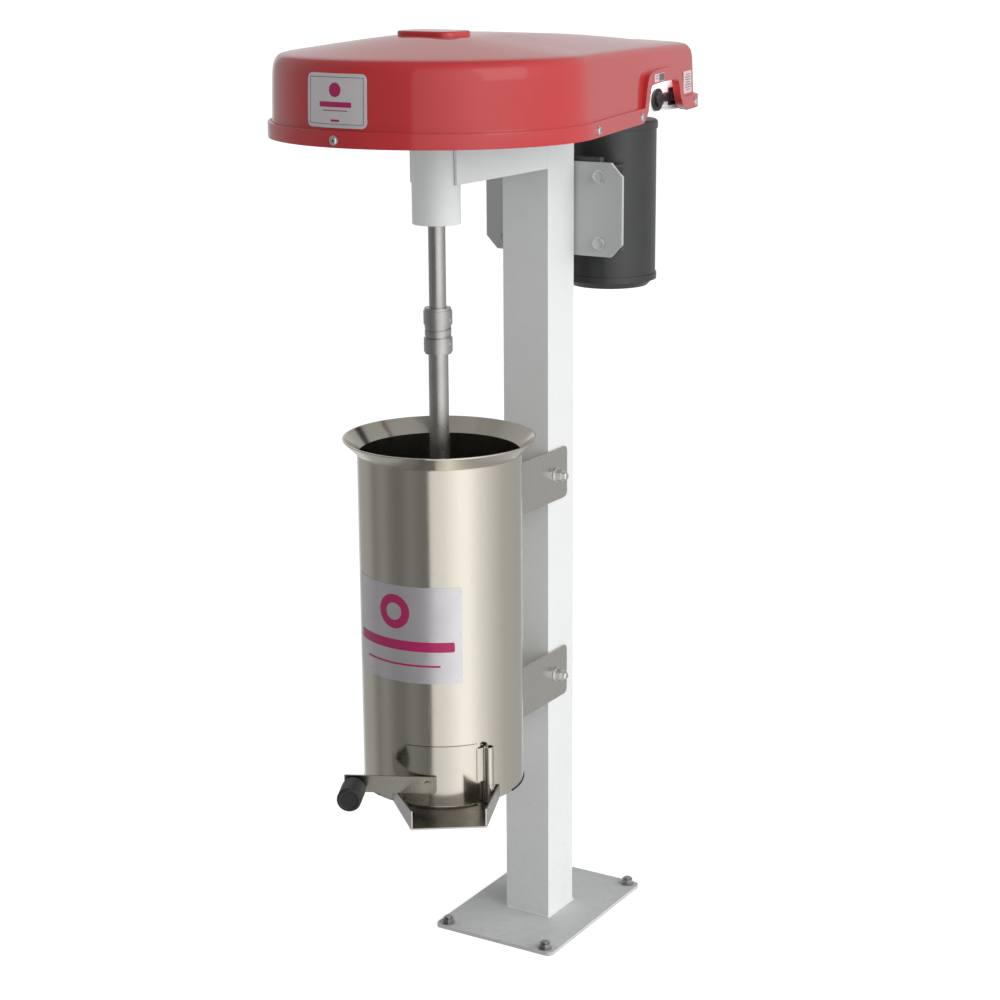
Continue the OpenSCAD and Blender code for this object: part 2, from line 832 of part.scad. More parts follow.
base_plate();
anchor_bolts();
column();
mount_rail();
arm_cheeks();
bearing_housing();
bearing_outer_races();
bearing_balls();
shaft_seal();
deck_pan();
hood();
hood_screws();
hood_pad();
hood_label();
side_label();
control_panel();
button_bezel();
rocker_frame();
fuse_holders();
cable_gland();
v_belt();
motor_mount_plate();
motor_bolts();
motor_foot();
motor_body();
motor_top_cap();
motor_bottom_cap();
tub();
tub_floor();
upper_bracket();
lower_bracket();
bracket_bolts();
bracket_nuts();
chute();
hinge_knuckle();
hinge_pin();
tub_label();
spindle_shaft();
bearing_inner_races();
spindle_pulley();
pulley_nut();
coupling_sleeve();
coupling_pins();
beater_shaft();
beater_hub();
beater_blades();
motor_rotor();
motor_shaft();
motor_pulley();
discharge_door();
door_knuckle();
lever_bolt();
lever();
grip();
push_button();
rocker();
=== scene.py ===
"""Looks for the column-mounted vertical crusher. Metres, in the same frame as the CAD model."""

import math

import bmesh
import bpy
from mathutils import Matrix, Vector


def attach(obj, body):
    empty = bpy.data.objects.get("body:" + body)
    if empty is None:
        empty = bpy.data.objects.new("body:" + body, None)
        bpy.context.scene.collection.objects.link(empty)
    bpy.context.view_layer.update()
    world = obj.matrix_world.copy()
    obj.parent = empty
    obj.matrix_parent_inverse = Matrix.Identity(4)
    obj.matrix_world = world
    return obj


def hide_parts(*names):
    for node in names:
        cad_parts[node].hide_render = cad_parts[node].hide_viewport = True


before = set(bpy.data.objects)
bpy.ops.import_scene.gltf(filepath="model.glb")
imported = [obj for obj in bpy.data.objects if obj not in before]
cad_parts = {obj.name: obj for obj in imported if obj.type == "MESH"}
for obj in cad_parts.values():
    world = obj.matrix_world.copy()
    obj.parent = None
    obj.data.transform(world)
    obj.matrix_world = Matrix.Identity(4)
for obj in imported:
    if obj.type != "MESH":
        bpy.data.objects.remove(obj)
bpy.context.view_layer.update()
scene = bpy.context.scene
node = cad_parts

AXIS_Y = -0.288  # the spindle's axis, in front of the column
MOTOR_Y = 0.23
MOTOR_R = 0.0756
TUB_R = 0.1213
TAPER = math.radians(12.5)  # each side of the hood narrows by this to the rear
HOOD_R = 0.235
HOOD_REAR = 0.362
HOOD_LOW = 1.307
CROWN_Z = 1.4446
SCREW_Z = 1.317
LEVER_TURN = 26  # the lever's fastener, in degrees round the spindle from the front
LABEL_R = 0.226  # the hood wall's radius at the height of its front label
PAD_WIDE, PAD_DEEP, PAD_CORNER = 0.096, 0.072, 0.023
FOIL_THICK = 0.0004
INK_THICK = 0.0002


# ---------------------------------------------------------------- materials


class Nodes:
    """A material's node tree, with short ways to add and join nodes."""

    def __init__(self, name):
        self.mat = bpy.data.materials.new(name)
        self.mat.use_nodes = True
        self.tree = self.mat.node_tree
        self.tree.nodes.clear()
        self.out = self.add("ShaderNodeOutputMaterial")
        self.shader = self.add("ShaderNodeBsdfPrincipled")
        self.link(self.shader.outputs[0], self.out.inputs[0])
        self.coord = self.add("ShaderNodeTexCoord").outputs["Object"]

    def add(self, kind, **values):
        made = self.tree.nodes.new(kind)
        for key, value in values.items():
            setattr(made, key, value)
        return made

    def link(self, a, b):
        self.tree.links.new(a, b)

    def set(self, **values):
        for key, value in values.items():
            self.shader.inputs[key.replace("_", " ")].default_value = value

    def noise(self, scale, detail=3.0, rough=0.5, stretch=(1, 1, 1), offset=(0, 0, 0)):
        place = self.add("ShaderNodeMapping")
        place.inputs["Scale"].default_value = stretch
        place.inputs["Location"].default_value = offset
        self.link(self.coord, place.inputs["Vector"])
        made = self.add("ShaderNodeTexNoise")
        made.inputs["Scale"].default_value = scale
        made.inputs["Detail"].default_value = detail
        made.inputs["Roughness"].default_value = rough
        self.link(place.outputs[0], made.inputs["Vector"])
        return made.outputs["Fac"]

    def span(self, value, low, high, to_low=0.0, to_high=1.0):
        made = self.add("ShaderNodeMapRange")
        for key, number in zip(("From Min", "From Max", "To Min", "To Max"), (low, high, to_low, to_high)):
            made.inputs[key].default_value = number
        self.link(value, made.inputs["Value"])
        return made.outputs[0]

    def math(self, how, a, b=None):
        made = self.add("ShaderNodeMath", operation=how)
        for slot, value in enumerate((a, b)):
            if isinstance(value, (int, float)):
                made.inputs[slot].default_value = value
            elif value is not None:
                self.link(value, made.inputs[slot])
        return made.outputs[0]

    def mix(self, fac, a, b):
        made = self.add("ShaderNodeMix", data_type="RGBA")
        for slot, value in zip((0, 6, 7), (fac, a, b)):
            if isinstance(value, (int, float)):
                made.inputs[slot].default_value = value
            elif isinstance(value, tuple):
                made.inputs[slot].default_value = (*value[:3], 1)
            else:
                self.link(value, made.inputs[slot])
        return made.outputs[2]

    def axis(self, name):
        made = self.add("ShaderNodeSeparateXYZ")
        self.link(self.coord, made.inputs[0])
        return made.outputs[name]

    def facing_up(self, low=0.6, high=1.0):
        made = self.add("ShaderNodeSeparateXYZ")
        self.link(self.add("ShaderNodeNewGeometry").outputs["Normal"], made.inputs[0])
        return self.span(made.outputs["Z"], low, high)

    def colour(self, value):
        self.link(value, self.shader.inputs["Base Color"])

    def roughness(self, value):
        self.link(value, self.shader.inputs["Roughness"])

    def bump(self, height, strength, distance):
        made = self.add("ShaderNodeBump")
        made.inputs["Strength"].default_value = strength
        made.inputs["Distance"].default_value = distance
        self.link(height, made.inputs["Height"])
        self.link(made.outputs[0], self.shader.inputs["Normal"])


def tone(rgb, k):
    return tuple(min(1.0, c * k) for c in rgb)


def powder_coat(name, rgb, rough=0.42, grain=900, peel=0.12, soil=0.05):
    """Painted metal: a fine orange peel, uneven gloss and a little soil, more of it near the floor."""
    n = Nodes(name)
    cloud = n.noise(6, 4, 0.6)
    fine = n.noise(70, 4, 0.6, offset=(3, 1, 2))
    clean = n.mix(n.span(cloud, 0.3, 0.7), tone(rgb, 0.97), tone(rgb, 1.02))
    near = n.span(n.axis("Z"), 0.0, 0.4, 1.0, 0.25)
    dirt = n.math("MULTIPLY", n.math("MULTIPLY", n.span(fine, 0.5, 0.75), soil * 3), near)
    n.colour(n.mix(dirt, clean, tone(rgb, 0.6)))
    n.roughness(n.span(cloud, 0.25, 0.75, rough - 0.06, rough + 0.08))
    n.bump(n.noise(grain, 2, 0.5), peel, 0.0004)
    n.set(IOR=1.5, Coat_Weight=0.12, Coat_Roughness=0.2)
    return n.mat


def brushed_steel(name, rgb, rough=0.13, stretch=(60, 60, 1.2), grain=0.03, stain=0.06, up_shade=0.0):
    """Stainless sheet: fine scratches along the stretched axis, faint stains and handling marks, and
    optional painted shade darkening what faces up.
    """
    n = Nodes(name)
    lines = n.noise(22, 5, 0.7, stretch)
    broad = n.noise(5, 3, 0.5, tuple(max(0.25, s * 0.05) for s in stretch))
    marks = n.noise(38, 4, 0.65, offset=(5, 2, 1))
    base = n.mix(n.span(lines, 0.3, 0.7), tone(rgb, 0.955), tone(rgb, 1.035))
    base = n.mix(n.span(broad, 0.3, 0.7, 0.0, 0.4), base, tone(rgb, 0.92))
    base = n.mix(n.math("MULTIPLY", n.span(marks, 0.55, 0.8), stain), base, tone(rgb, 0.5))
    if up_shade:
        # painted shade: what faces up is darkened towards deep brown, standing for the dark reflection it
        # shows
        shaded_up = n.math("MULTIPLY", n.facing_up(0.3, 0.9), n.span(marks, 0.2, 0.8, up_shade, up_shade * 0.75))
        base = n.mix(shaded_up, base, (0.07, 0.055, 0.042))
    n.colour(base)
    smear = n.span(marks, 0.5, 0.9, 0.0, 0.07)
    n.roughness(n.math("ADD", n.span(lines, 0.3, 0.7, rough - 0.03, rough + 0.05), smear))
    n.bump(lines, grain, 0.0002)
    n.set(Metallic=1.0)
    return n.mat


def turned_steel(name, rgb, rough=0.3):
    """A shaft as it left the lathe: fine rings round Z, with oil-darkened patches."""
    n = Nodes(name)
    rings = n.noise(40, 3, 0.6, (2, 2, 60))
    patch = n.noise(14, 4, 0.6)
    base = n.mix(n.span(rings, 0.3, 0.7), tone(rgb, 0.88), tone(rgb, 1.08))
    n.colour(n.mix(n.span(patch, 0.5, 0.8, 0.0, 0.4), base, tone(rgb, 0.65)))
    n.roughness(n.span(patch, 0.3, 0.7, rough - 0.05, rough + 0.1))
    n.bump(rings, 0.08, 0.0002)
    n.set(Metallic=1.0)
    return n.mat


def plated(name, rgb, rough=0.22):
    """Zinc-plated hardware, a little dulled and spotted."""
    n = Nodes(name)
    spots = n.noise(160, 4, 0.7)
    cloud = n.noise(30, 2, 0.5)
    n.colour(n.mix(n.span(spots, 0.55, 0.75), rgb, tone(rgb, 0.66)))
    n.roughness(n.span(cloud, 0.3, 0.7, rough, rough + 0.15))
    n.bump(spots, 0.08, 0.0002)
    n.set(Metallic=1.0)
    return n.mat


def foil(name, rgb, metallic=0.5, rough=0.35):
    """A printed label: a smooth film with a faint grain, rubbed duller in places."""
    n = Nodes(name)
    grain = n.noise(500, 2, 0.5)
    rub = n.noise(26, 4, 0.6)
    n.colour(n.mix(n.span(rub, 0.45, 0.8, 0.0, 0.5), rgb, tone(rgb, 0.85)))
    n.roughness(n.span(rub, 0.3, 0.8, rough, rough + 0.15))
    n.bump(grain, 0.04, 0.0002)
    n.set(Metallic=metallic, Coat_Weight=0.3, Coat_Roughness=0.12)
    return n.mat


def gel_coat(name, rgb):
    """The moulded hood: deep gloss over red, faint waviness, fine scratches and dust on what faces up."""
    n = Nodes(name)
    cloud = n.noise(4, 3, 0.5, offset=(1, 4, 2))
    fine = n.noise(240, 3, 0.6)
    dust = n.noise(90, 5, 0.7, offset=(2, 2, 7))
    up = n.facing_up()
    base = n.mix(n.span(cloud, 0.3, 0.7), tone(rgb, 0.95), tone(rgb, 1.04))
    dusty = n.math("MULTIPLY", up, n.span(dust, 0.35, 0.8, 0.0, 0.03))
    n.colour(n.mix(dusty, base, (0.5, 0.42, 0.40)))
    n.roughness(n.math("ADD", n.span(fine, 0.3, 0.8, 0.34, 0.42), n.math("MULTIPLY", up, 0.08)))
    n.bump(n.noise(7, 1, 0.4), 0.02, 0.002)
    n.set(IOR=1.5, Specular_IOR_Level=0.25, Coat_Weight=0.9, Coat_Roughness=0.045, Coat_IOR=1.45)
    return n.mat


def moulded(name, rgb, rough=0.5, grain=700, strength=0.2):
    """Moulded plastic or rubber with a fine texture and lighter rubbed patches."""
    n = Nodes(name)
    rubbed = n.noise(35, 4, 0.6)
    n.colour(n.mix(n.span(rubbed, 0.45, 0.8, 0.0, 0.6), rgb, tone(rgb, 2.2)))
    n.roughness(n.span(rubbed, 0.3, 0.8, rough + 0.08, rough - 0.08))
    n.bump(n.noise(grain, 3, 0.6), strength, 0.0003)
    n.set(IOR=1.48)
    return n.mat


def cast_paint(name, rgb):
    """Dark paint over a slightly pebbled casting."""
    n = Nodes(name)
    cloud = n.noise(12, 4, 0.6)
    n.colour(n.mix(n.span(cloud, 0.3, 0.75), tone(rgb, 0.9), tone(rgb, 1.25)))
    n.roughness(n.span(cloud, 0.3, 0.7, 0.30, 0.40))
    n.bump(n.noise(420, 4, 0.6), 0.12, 0.0004)
    n.set(IOR=1.5, Coat_Weight=0.2, Coat_Roughness=0.15)
    return n.mat


WHITE = powder_coat("white_powder_coat", (0.80, 0.81, 0.81))
# painted shade: the motor plate and the base plate get darker copies of the frame's white paint, standing
# for the shade on them; the base plate's extra soil is real dirt
MOUNT_PAINTED_SHADE = powder_coat("mount_coat_painted_shade", (0.52, 0.53, 0.53), 0.46)
BASE_PAINTED_SHADE = powder_coat("base_coat_painted_shade", (0.62, 0.63, 0.63), 0.5, soil=0.09)
RED = gel_coat("red_gel_coat", (0.55, 0.032, 0.036))
TUB = brushed_steel("tub_steel", (0.68, 0.645, 0.56))
SHEET = brushed_steel("sheet_steel", (0.60, 0.58, 0.53), 0.24, (40, 40, 2.5), 0.015)
# painted shade: the last argument darkens what faces up on the chute, standing for the dark reflection in
# its floor
CHUTE = brushed_steel("chute_steel", (0.56, 0.54, 0.50), 0.26, (40, 40, 2.5), 0.015, up_shade=0.93)
DOOR = brushed_steel("door_steel", (0.64, 0.61, 0.53))
LEVER = brushed_steel("lever_steel", (0.42, 0.40, 0.34), 0.24, (3, 3, 40), 0.015)
SHAFT = turned_steel("shaft_steel", (0.50, 0.49, 0.47))
ZINC = plated("zinc", (0.74, 0.75, 0.76))
ANCHOR = plated("anchor_steel", (0.36, 0.36, 0.36), 0.3)
IRON = cast_paint("pulley_iron", (0.08, 0.08, 0.085))
MOTOR = cast_paint("motor_paint", (0.030, 0.031, 0.032))
BLACK = moulded("black_plastic", (0.018, 0.018, 0.019), 0.42)
RUBBER = moulded("belt_rubber", (0.015, 0.015, 0.015), 0.7, 500, 0.3)
FOIL = foil("label_foil", (0.66, 0.64, 0.66), 0.7, 0.25)
FRONT_FOIL = foil("front_label_foil", (0.74, 0.72, 0.73), 0.3, 0.3)
PALE = foil("label_pale", (0.80, 0.60, 0.62), 0.0)
INK = foil("label_ink", (0.46, 0.004, 0.12), 0.0)
GREY_INK = foil("label_grey_ink", (0.10, 0.09, 0.10), 0.0)

# each CAD node's material, and the rounding of its edges in millimetres
FINISH = {
    "base_plate": (BASE_PAINTED_SHADE, 0), "anchor_bolts": (ANCHOR, 0.4), "column": (WHITE, 0),
    "mount_rail": (WHITE, 0.4), "arm_cheeks": (WHITE, 0.8), "bearing_housing": (WHITE, 0.8),
    "deck_pan": (WHITE, 0.4), "control_panel": (WHITE, 0.3), "bearing_outer_races": (SHAFT, 0.5),
    "bearing_balls": (ZINC, 0), "bearing_inner_races": (SHAFT, 0.5), "shaft_seal": (RUBBER, 0.3),
    "button_bezel": (BLACK, 0.5), "rocker_frame": (BLACK, 0.5), "fuse_holders": (BLACK, 0.5),
    "cable_gland": (BLACK, 0.4), "v_belt": (RUBBER, 0.4), "motor_mount_plate": (MOUNT_PAINTED_SHADE, 0),
    "motor_bolts": (ZINC, 0.5), "motor_foot": (MOTOR, 0), "motor_body": (MOTOR, 0),
    "motor_top_cap": (MOTOR, 0.8), "motor_bottom_cap": (MOTOR, 0.8), "tub": (TUB, 0),
    "tub_floor": (SHEET, 0), "upper_bracket": (SHEET, 0), "lower_bracket": (SHEET, 0),
    "bracket_bolts": (ZINC, 0.5), "bracket_nuts": (ZINC, 0.5), "chute": (CHUTE, 0.3),
    "hinge_knuckle": (SHEET, 0), "hinge_pin": (ZINC, 0), "spindle_shaft": (SHAFT, 0.5),
    "spindle_pulley": (IRON, 0.6), "pulley_nut": (ZINC, 0.5), "coupling_sleeve": (SHAFT, 0.5),
    "coupling_pins": (ZINC, 0.4), "beater_shaft": (SHAFT, 0.5), "beater_hub": (SHEET, 0.5),
    "beater_blades": (SHEET, 0.5), "motor_rotor": (IRON, 0), "motor_shaft": (SHAFT, 0.5),
    "motor_pulley": (IRON, 0.6), "discharge_door": (DOOR, 0), "door_knuckle": (DOOR, 0),
    "lever_bolt": (LEVER, 0.6), "lever": (LEVER, 0.4), "push_button": (BLACK, 1.0),
    "rocker": (BLACK, 0.6),
}


def finish(cad, material, bevel_mm):
    """Gives a CAD node its material and, where it has sharp edges, a small rounding."""
    data = cad.data
    data.materials.clear()
    data.materials.append(material)
    if not bevel_mm:
        return
    for face in data.polygons:
        face.use_smooth = True
    join = cad.modifiers.new("join", "WELD")
    join.merge_threshold = 0.00001
    edge = cad.modifiers.new("edge", "BEVEL")
    edge.width = bevel_mm / 1000
    edge.segments = 2
    edge.limit_method = "ANGLE"
    edge.angle_limit = math.radians(32)
    edge.use_clamp_overlap = True
    shade = cad.modifiers.new("shade", "WEIGHTED_NORMAL")
    shade.weight = 80
    shade.keep_sharp = False


for name, (material, bevel_mm) in FINISH.items():
    finish(node[name], material, bevel_mm)


# ---------------------------------------------------------------- mesh helpers


def mesh_object(name, bm, material, smooth=True):
    bmesh.ops.recalc_face_normals(bm, faces=bm.faces)
    data = bpy.data.meshes.new(name)
    bm.to_mesh(data)
    bm.free()
    data.materials.append(material)
    for face in data.polygons:
        face.use_smooth = smooth
    made = bpy.data.objects.new(name, data)
    scene.collection.objects.link(made)
    return made


def settle(made):
    """Applies an object's modifiers to its mesh."""
    graph = bpy.context.evaluated_depsgraph_get()
    data = bpy.data.meshes.new_from_object(made.evaluated_get(graph))
    old = made.data
    made.modifiers.clear()
    made.data = data
    bpy.data.meshes.remove(old)


def boolean(made, how, other):
    step = made.modifiers.new(how.lower(), "BOOLEAN")
    step.operation = how
    step.solver = "MANIFOLD"
    step.object = other
    settle(made)
    bpy.data.objects.remove(other)


def sharpen(made, angle=35):
    """Smooth faces, with edges sharper than the angle marked sharp."""
    bm = bmesh.new()
    bm.from_mesh(made.data)
    for face in bm.faces:
        face.smooth = True
    for edge in bm.edges:
        if len(edge.link_faces) == 2:
            edge.smooth = edge.calc_face_angle(0) < math.radians(angle)
    bm.to_mesh(made.data)
    bm.free()
    return made


def joined(name, parts):
    """One object from several, keeping each one's materials."""
    bm = bmesh.new()
    used = []
    for part in parts:
        data = part.data
        base = len(bm.faces)
        bm.from_mesh(data)
        bm.faces.ensure_lookup_table()
        for face in bm.faces[base:]:
            material = data.materials[face.material_index]
            if material not in used:
                used.append(material)
            face.material_index = used.index(material)
        bpy.data.objects.remove(part)
    data = bpy.data.meshes.new(name)
    bm.to_mesh(data)
    bm.free()
    for material in used:
        data.materials.append(material)
    made = bpy.data.objects.new(name, data)
    scene.collection.objects.link(made)
    return made


def prism(outline, low, high, place=None):
    """A closed prism on a 2D outline, from low to high along its own Z, then put in place by a matrix."""
    bm = bmesh.new()
    rings = [[bm.verts.new((x, y, z)) for x, y in outline] for z in (low, high)]
    count = len(outline)
    for i in range(count):
        j = (i + 1) % count
        bm.faces.new((rings[0][i], rings[0][j], rings[1][j], rings[1][i]))
    bm.faces.new(list(reversed(rings[0])))
    bm.faces.new(rings[1])
    if place is not None:
        bm.transform(place)
    return mesh_object("prism", bm, RED, smooth=False)


def lathe(profile, place, material, segments=64):
    """Turns (radius, height) points round Z and puts the result in place. Radius 0 closes an end."""
    bm = bmesh.new()
    rings = []
    for radius, height in profile:
        if radius == 0:
            rings.append([bm.verts.new((0, 0, height))] * segments)
            continue
        turn = [2 * math.pi * i / segments for i in range(segments)]
        rings.append([bm.verts.new((radius * math.cos(a), radius * math.sin(a), height)) for a in turn])
    for a, b in zip(rings, rings[1:]):
        for i in range(segments):
            j = (i + 1) % segments
            corners = []
            for v in (a[i], a[j], b[j], b[i]):
                if v not in corners:
                    corners.append(v)
            bm.faces.new(corners)
    bm.transform(place)
    return sharpen(mesh_object("lathe", bm, material), 40)


def aim(point, direction):
    """A matrix that takes +Z to the direction and the origin to the point."""
    turn = Vector(direction).to_track_quat("Z", "Y").to_matrix().to_4x4()
    return Matrix.Translation(point) @ turn


def round_spindle(turn, x, y, z):
    """A point given in the spindle's frame turned by some degrees."""
    a = math.radians(turn)
    return Vector((x * math.cos(a) - y * math.sin(a), AXIS_Y + x * math.sin(a) + y * math.cos(a), z))


def flat_direction(turn, x, y):
    a = math.radians(turn)
    return Vector((x * math.cos(a) - y * math.sin(a), x * math.sin(a) + y * math.cos(a), 0))


def sticker(width, height, corner, place, centre, thick, material):
    """A thin plate with rounded corners. place(x, y, lift) gives the point on the surface it follows."""
    columns = max(8, int(width / 0.003))
    corner = max(corner, 0.0002)
    half = width / 2
    bm = bmesh.new()
    rows = 6
    xs = []
    for i in range(7):
        xs.append(-half + corner * (1 - math.cos(math.pi / 2 * i / 6)))
    inner = half - corner
    if inner > 0.0001:
        xs += [-inner + 2 * inner * i / columns for i in range(1, columns)]
        for i in range(7):
            xs.append(half - corner * (1 - math.cos(math.pi / 2 * (6 - i) / 6)))
    else:
        xs += [half - corner * (1 - math.cos(math.pi / 2 * (5 - i) / 6)) for i in range(6)]
    sheets = []
    for lift in (0.0, thick):
        grid = []
        for x in xs:
            over = max(0.0, abs(x) - inner)
            top = height / 2 - corner + math.sqrt(max(0.0, corner * corner - over * over))
            top = max(top, 0.00005)
            line = []
            for k in range(rows + 1):
                y = -top + 2 * top * k / rows
                line.append(bm.verts.new(place(centre[0] + x, centre[1] + y, lift)))
            grid.append(line)
        sheets.append(grid)
    low, high = sheets
    last = len(xs) - 1
    for i in range(last):
        for k in range(rows):
            bm.faces.new((high[i][k], high[i + 1][k], high[i + 1][k + 1], high[i][k + 1]))
            bm.faces.new((low[i][k], low[i][k + 1], low[i + 1][k + 1], low[i + 1][k]))
        for k in (0, rows):
            bm.faces.new((low[i][k], low[i + 1][k], high[i + 1][k], high[i][k]))
    for i in (0, last):
        for k in range(rows):
            bm.faces.new((low[i][k], high[i][k], high[i][k + 1], low[i][k + 1]))
    return sharpen(mesh_object("sticker", bm, material), 50)


def raised(place, lift):
    """The same surface, that much further out."""
    return lambda x, y, up: place(x, y, up + lift)


def frame_lines(width, height, line, place, material):
    """Four thin lines that make a border."""
    made = []
    for side in (-1, 1):
        made.append(sticker(width, line, 0, place, (0, side * height / 2), INK_THICK, material))
        made.append(sticker(line, height, 0, place, (side * width / 2, 0), INK_THICK, material))
    return made


# ---------------------------------------------------------------- hood

WALL = [
    (0.0066, 1.3304, 1.3304), (0.0070, 1.3400, 1.3400), (0.0075, 1.3570, 1.3530), (0.0086, 1.3890, 1.3815),
    (0.0098, 1.4030, 1.3935), (0.0118, 1.4103, 1.4000), (0.0150, 1.4160, 1.4048), (0.0195, 1.4202, 1.4085),
    (0.0300, 1.4228, 1.4113),
]  # distance in from the flange, height at the front, height at the rear


def wall_inset(z):
    """How far the front wall leans in at a height."""
    for (a, low, _), (b, high, _) in zip(WALL, WALL[1:]):
        if z <= high:
            return a + (b - a) * max(0.0, z - low) / (high - low)
    return WALL[-1][0]


def hood_outline(inset):
    """The hood's plan, drawn in by inset, from the rear centre round the right side and back."""
    radius = HOOD_R - inset
    corner = 0.025
    y_corner = HOOD_REAR - inset - corner
    x_corner = (radius - corner - (y_corner - AXIS_Y) * math.sin(TAPER)) / math.cos(TAPER)
    right = []
    for i in range(6):
        right.append((x_corner * i / 6, y_corner + corner))
    for i in range(10):
        a = math.pi / 2 - (math.pi / 2 - TAPER) * i / 10
        right.append((x_corner + corner * math.cos(a), y_corner + corner * math.sin(a)))
    start = Vector((x_corner + corner * math.cos(TAPER), y_corner + corner * math.sin(TAPER)))
    end = Vector((radius * math.cos(TAPER), AXIS_Y + radius * math.sin(TAPER)))
    for i in range(34):
        p = start.lerp(end, i / 34)
        right.append((p.x, p.y))
    for i in range(54):
        a = TAPER - (TAPER + math.pi / 2) * i / 54
        right.append((radius * math.cos(a), AXIS_Y + radius * math.sin(a)))
    left = [(-x, y) for x, y in reversed(right[1:])]
    return right + [(0.0, AXIS_Y - radius)] + left


def spline(a, b, c, d, t):
    """A smooth curve from b to c, shaped by its neighbours a and d."""
    square = (2 * a - 5 * b + 4 * c - d) * t * t
    cube = (3 * b - a - 3 * c + d) * t ** 3
    return 0.5 * (2 * b + (c - a) * t + square + cube)


def smooth_steps(steps, count):
    """The same profile with more points, on a smooth curve through them."""
    made = [steps[0]]
    for i in range(len(steps) - 1):
        p = [steps[max(0, i - 1)], steps[i], steps[i + 1], steps[min(len(steps) - 1, i + 2)]]
        for j in range(1, count + 1):
            made.append(tuple(spline(*values, j / count) for values in zip(*p)))
    return made


def eased(t):
    """From 0 to 1, a little faster towards the end."""
    return 0.55 * t + 0.45 * t * t


def spine_height(y):
    """Height of the hood's crown along its centre line: level over the spindle, then falling."""
    level_to, falls_to = -0.17, 0.302
    t = max(0.0, (y - level_to) / (falls_to - level_to))
    return CROWN_Z - 0.0315 * eased(t)


def hood_shell():
    """The moulded hood: a stepped flange, leaning walls and a crowned top, 3 mm thick."""
    steps = [
        (inset, z, z) for inset, z in (
            (0.0028, 1.3070), (0.0, 1.3072), (0.0, 1.3090), (0.0, 1.3270), (0.0003, 1.3283),
            (0.0010, 1.3290), (0.0044, 1.3292), (0.0050, 1.3276), (0.0060, 1.3274),
        )
    ] + smooth_steps(WALL, 3)
    bm = bmesh.new()
    rings = []
    for inset, front, rear in steps:
        plan = hood_outline(inset)
        far = max(y for _, y in plan)
        ring = []
        for x, y in plan:
            t = max(0.0, (y - AXIS_Y) / (far - AXIS_Y))
            ring.append(bm.verts.new((x, y, front + (rear - front) * eased(t))))
        rings.append(ring)
    edge = [v.co.copy() for v in rings[-1]]
    crown_rings = 20
    flat_from = 0.745  # share of the way to the centre line where the crown goes level
    for i in range(1, crown_rings + 1):
        s = (i / crown_rings) ** 1.5
        climb = 1 - (1 - min(1.0, s / flat_from)) ** 1.12
        ring = []
        for p in edge:
            goal = Vector((0.0, max(AXIS_Y, min(0.27, p.y)), 0.0))
            goal.z = spine_height(goal.y)
            q = p.lerp(goal, s)
            q.z = p.z + (goal.z - p.z) * climb
            ring.append(bm.verts.new(q))
        rings.append(ring)
    count = len(rings[0])
    for a, b in zip(rings, rings[1:]):
        for i in range(count):
            j = (i + 1) % count
            bm.faces.new((a[i], a[j], b[j], b[i]))
    bmesh.ops.remove_doubles(bm, verts=bm.verts, dist=0.0004)
    made = mesh_object("hood_shell", bm, RED)
    wall = made.modifiers.new("wall", "SOLIDIFY")
    wall.thickness = 0.003
    wall.offset = -1
    settle(made)
    return made


def on_corner(a, b, c, t):
    """A point on the short curve that takes the place of corner b."""
    return (1 - t) ** 2 * (a + b) / 2 + 2 * t * (1 - t) * b + t * t * (b + c) / 2


def arch(grow):
    """The switch opening's outline in the right side, as distance along Y and height."""
    g = grow
    low = HOOD_LOW
    corners = [
        (0.014 - g, low - 0.003), (0.024 - g, low + 0.003), (0.040 - g, 1.318), (0.050 - g, 1.334),
        (0.060 - g, 1.356 + g / 2), (0.068 - g / 2, 1.361 + g), (0.214 + g / 2, 1.361 + g),
        (0.224 + g, 1.356 + g / 2), (0.234 + g, 1.334), (0.250 + g, 1.316), (0.270 + g, low + 0.003),
        (0.284 + g, low - 0.003),
    ]
    smooth = [corners[0]]
    for a, b, c in zip(corners, corners[1:], corners[2:]):
        for t in (0.15, 0.4, 0.6, 0.85):
            smooth.append(tuple(on_corner(a[k], b[k], c[k], t) for k in (0, 1)))
    smooth.append(corners[-1])
    return smooth


# lays a prism's outline in the Y-Z plane, and its length along X
ALONG_X = Matrix(((0, 0, 1, 0), (1, 0, 0, 0), (0, 1, 0, 0), (0, 0, 0, 1)))


def arch_band():
    """The raised band round the switch opening, flush with the flange."""
    plan = hood_outline(0.0004)
    band = prism(plan, 1.3080, 1.3835)
    boolean(band, "DIFFERENCE", prism(hood_outline(0.0125), 1.30, 1.39))
    boolean(band, "INTERSECT", prism(arch(0.021), 0.05, 0.22, ALONG_X))
    return band


hood = hood_shell()
boolean(hood, "UNION", arch_band())
boolean(hood, "DIFFERENCE", prism(arch(0.0), 0.05, 0.22, ALONG_X))
sharpen(hood, 30)
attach(hood, "frame")
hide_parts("hood")


def hood_pad():
    """A plain raised pad with rounded edges on the crown."""
    steps = [
        (0.0, 1.4436), (0.0, 1.4484), (0.0005, 1.4500), (0.0016, 1.4508), (0.0034, 1.4512), (0.008, 1.45115),
    ]
    bm = bmesh.new()
    rings = []
    for inset, z in steps:
        ring = []
        for sx, sy, start in ((1, 1, 0), (-1, 1, 90), (-1, -1, 180), (1, -1, 270)):
            for i in range(13):
                a = math.radians(start + 90 * i / 12)
                r = PAD_CORNER - inset
                x = sx * (PAD_WIDE / 2 - PAD_CORNER) + r * math.cos(a)
                y = sy * (PAD_DEEP / 2 - PAD_CORNER) + r * math.sin(a)
                ring.append(bm.verts.new((x, AXIS_Y + y, z)))
        rings.append(ring)
    count = len(rings[0])
    for a, b in zip(rings, rings[1:]):
        for i in range(count):
            j = (i + 1) % count
            bm.faces.new((a[i], a[j], b[j], b[i]))
    bm.faces.new(rings[-1])
    bm.faces.new(list(reversed(rings[0])))
    return sharpen(mesh_object("crown_pad", bm, RED), 50)


